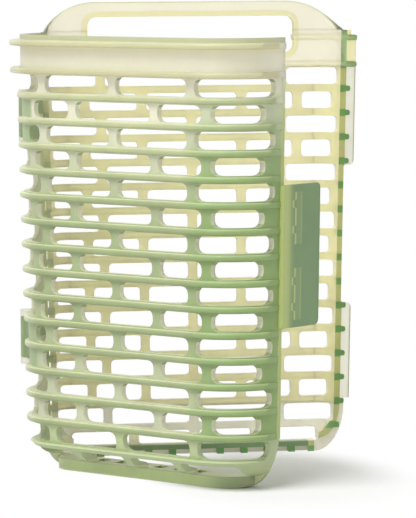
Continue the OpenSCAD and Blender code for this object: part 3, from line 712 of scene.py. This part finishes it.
class KEEPER_OT_front_foot(bpy.types.Operator):
    """Finishes the skirt and the floor of the front half"""
    bl_idname = "keeper.front_foot"
    bl_label = "Front skirt and floor"

    def execute(self, context):
        c = context.scene.keeper.colours

        def raised(tree, place, colour):
            above = times(tree, fade(tree, axes(tree, place)["Z"], *FOOT_TOP), SKIRT_SHARE)
            return mix(tree, above, colour, paint(c.band_green))

        # The skirt's latch corner takes the wall's sage as painted shade
        skirt = shades(c.olive, latch_corner=c.sage_light, ledge=c.ledge_sheen,
                       underside=c.leaf_shade, slot_side=c.lit_slot_side, strip=c.lime_edge,
                       rim_wall=c.straw, rim_rib=c.rib_green)
        floor = shades(c.olive, ledge=c.ledge_sheen, underside=c.leaf_shade, slot_side=c.leaf_shade,
                       rim_wall=c.straw, rim_rib=c.straw)
        dress("front_skirt", "front", skirt, share=SKIRT_STRIP, extra=raised)
        dress("front_floor", "front", floor)
        return {"FINISHED"}


class KEEPER_OT_latch_tab(bpy.types.Operator):
    """Finishes the latch tab, with its catch bars showing through"""
    bl_idname = "keeper.latch_tab"
    bl_label = "Latch tab"

    def execute(self, context):
        c = context.scene.keeper.colours

        def caught(tree, place, colour):
            bars = use(tree, "Catch bars", catch_group, {"Place": place})
            reach = axes(tree, place)["Y"]
            # The catch bars show through the tab as painted light: a bright line along their edges
            # and a paler band over their body
            for mask, share, shade in (
                    (fade(tree, reach, *TAB_ROOT), TAB_ROOT_SHARE, c.lime_edge),
                    (fade(tree, reach, *TAB_END), TAB_END_SHARE, c.rib_green),
                    (bars["Bar"], BAR_SHARE, c.leaf_shade),
                    (bars["Edge"], BAR_EDGE_SHARE, c.lime_edge)):
                colour = mix(tree, times(tree, mask, share), colour, paint(shade))
            return colour

        tab = shades(c.mist, ledge=c.lime_edge, underside=c.lime_edge, slot_side=c.lime_edge,
                     strip=c.lime_edge)
        dress("front_latch_tab", "front", tab, straight=LATCH_TAB_STRAIGHT, share=TAB_STRIP,
              extra=caught)
        return {"FINISHED"}


class KEEPER_OT_stage(bpy.types.Operator):
    """Sets the floor, the even light, the soft lamp and the camera"""
    bl_idname = "keeper.stage"
    bl_label = "Stage"

    def execute(self, context):
        scene = context.scene
        s = scene.keeper.stage
        scene.view_settings.view_transform = "Standard"
        self.sky(scene, s)
        self.floor(s)
        self.lamp(scene, s)
        self.camera(scene, s)
        return {"FINISHED"}

    @staticmethod
    def lamp(scene, s):
        """A large soft lamp, high in front on the hinge side."""
        lamp = bpy.data.lights.new("soft_lamp", "AREA")
        lamp.shape = "DISK"
        lamp.size = LAMP_SIZE
        lamp.energy = s.key
        key = bpy.data.objects.new("soft_lamp", lamp)
        key.location = LAMP_PLACE
        aim = Vector(LAMP_AIM) - key.location
        key.rotation_euler = aim.to_track_quat("-Z", "Y").to_euler()
        scene.collection.objects.link(key)

    @staticmethod
    def camera(scene, s):
        """The camera of the reference view."""
        view = bpy.data.cameras.new("photo_view")
        view.sensor_fit = "VERTICAL"
        view.sensor_height = SENSOR_HEIGHT
        view.lens = s.lens
        view.clip_end = VIEW_END
        camera = bpy.data.objects.new("photo_view", view)
        camera.location = s.eye
        level = math.cos(s.pitch)
        aim = Vector((math.sin(s.heading) * level, math.cos(s.heading) * level,
                      -math.sin(s.pitch)))
        turn = aim.to_track_quat("-Z", "Y") @ Quaternion((0.0, 0.0, 1.0), s.roll)
        camera.rotation_euler = turn.to_euler()
        scene.collection.objects.link(camera)
        scene.camera = camera

    @staticmethod
    def seen(tree):
        """1 for rays that show the background: camera, glossy and transmission rays."""
        path = tree.nodes.new("ShaderNodeLightPath").outputs
        shown = calc(tree, "MAXIMUM", path["Is Camera Ray"], path["Is Glossy Ray"])
        return calc(tree, "MAXIMUM", shown, path["Is Transmission Ray"])

    def sky(self, scene, s):
        """An even sky that lights the part and looks white."""
        world = bpy.data.worlds.new("white_room")
        world.use_nodes = True
        scene.world = world
        tree = world.node_tree
        tree.nodes.clear()
        lit = add(tree, "ShaderNodeBackground", {"Color": WHITE, "Strength": s.sky})
        white = add(tree, "ShaderNodeBackground", {"Color": WHITE, "Strength": 1.0})
        both = add(tree, "ShaderNodeMixShader",
                   {0: self.seen(tree), 1: lit.outputs[0], 2: white.outputs[0]})
        out = tree.nodes.new("ShaderNodeOutputWorld")
        tree.links.new(both.outputs[0], out.inputs["Surface"])

    def floor(self, s):
        """A pale floor that keeps the shadow near the part and runs out to white."""
        bpy.ops.mesh.primitive_plane_add(size=FLOOR_SIZE)
        floor = bpy.context.object
        floor.name = "floor"
        material = bpy.data.materials.new("floor_paper")
        material.use_nodes = True
        tree = material.node_tree
        shader = tree.nodes["Principled BSDF"]
        out = tree.nodes["Material Output"]
        place = add(tree, "ShaderNodeTexCoord").outputs["Object"]
        speck = times(tree, noise(tree, place, SPECK_SCALE, detail=3.0), SPECK_SHARE)
        tone = mix(tree, speck, paint(s.floor_tone), SPECK_TONE)
        tree.links.new(tone, shader.inputs["Base Color"])
        shader.inputs["Roughness"].default_value = FLOOR_ROUGH
        shader.inputs["Specular IOR Level"].default_value = 0.0
        middle = add(tree, "ShaderNodeMapping", {"Vector": place, "Location": SHADOW_SHIFT,
                                                 "Scale": SHADOW_SQUEEZE}).outputs[0]
        away = vector_math(tree, "LENGTH", middle)["Value"]
        far = times(tree, fade(tree, away, *SHADOW_END), self.seen(tree))
        white = add(tree, "ShaderNodeEmission", {"Color": WHITE, "Strength": 1.0})
        both = add(tree, "ShaderNodeMixShader",
                   {0: far, 1: shader.outputs[0], 2: white.outputs[0]})
        tree.links.new(both.outputs[0], out.inputs["Surface"])
        floor.data.materials.append(material)


STEPS = (KEEPER_OT_rear_walls, KEEPER_OT_rear_top, KEEPER_OT_rear_foot, KEEPER_OT_rear_tabs,
         KEEPER_OT_hinges, KEEPER_OT_front_walls, KEEPER_OT_front_top, KEEPER_OT_front_foot,
         KEEPER_OT_latch_tab, KEEPER_OT_stage)


class KEEPER_PT_panel(bpy.types.Panel):
    """Lists the steps of the keeper's looks"""
    bl_idname = "KEEPER_PT_panel"
    bl_label = "Produce keeper"
    bl_space_type = "VIEW_3D"
    bl_region_type = "UI"
    bl_category = "Keeper"

    def draw(self, context):
        for step in STEPS:
            self.layout.operator(step.bl_idname)
        keeper = context.scene.keeper
        for settings in (keeper.colours, keeper.finish, keeper.stage):
            box = self.layout.box()
            for key in settings.__annotations__:
                box.prop(settings, key)


CLASSES = (KeeperColours, KeeperFinish, KeeperStage, KeeperSettings) + STEPS + (KEEPER_PT_panel,)


def register():
    for cls in CLASSES:
        bpy.utils.register_class(cls)
    bpy.types.Scene.keeper = PointerProperty(type=KeeperSettings)


def unregister():
    del bpy.types.Scene.keeper
    for cls in reversed(CLASSES):
        bpy.utils.unregister_class(cls)


def main():
    register()
    bpy.ops.keeper.rear_walls()
    bpy.ops.keeper.rear_top()
    bpy.ops.keeper.rear_foot()
    bpy.ops.keeper.rear_tabs()
    bpy.ops.keeper.hinges()
    bpy.ops.keeper.front_walls()
    bpy.ops.keeper.front_top()
    bpy.ops.keeper.front_foot()
    bpy.ops.keeper.latch_tab()
    bpy.ops.keeper.stage()


if __name__ == "__main__":
    main()
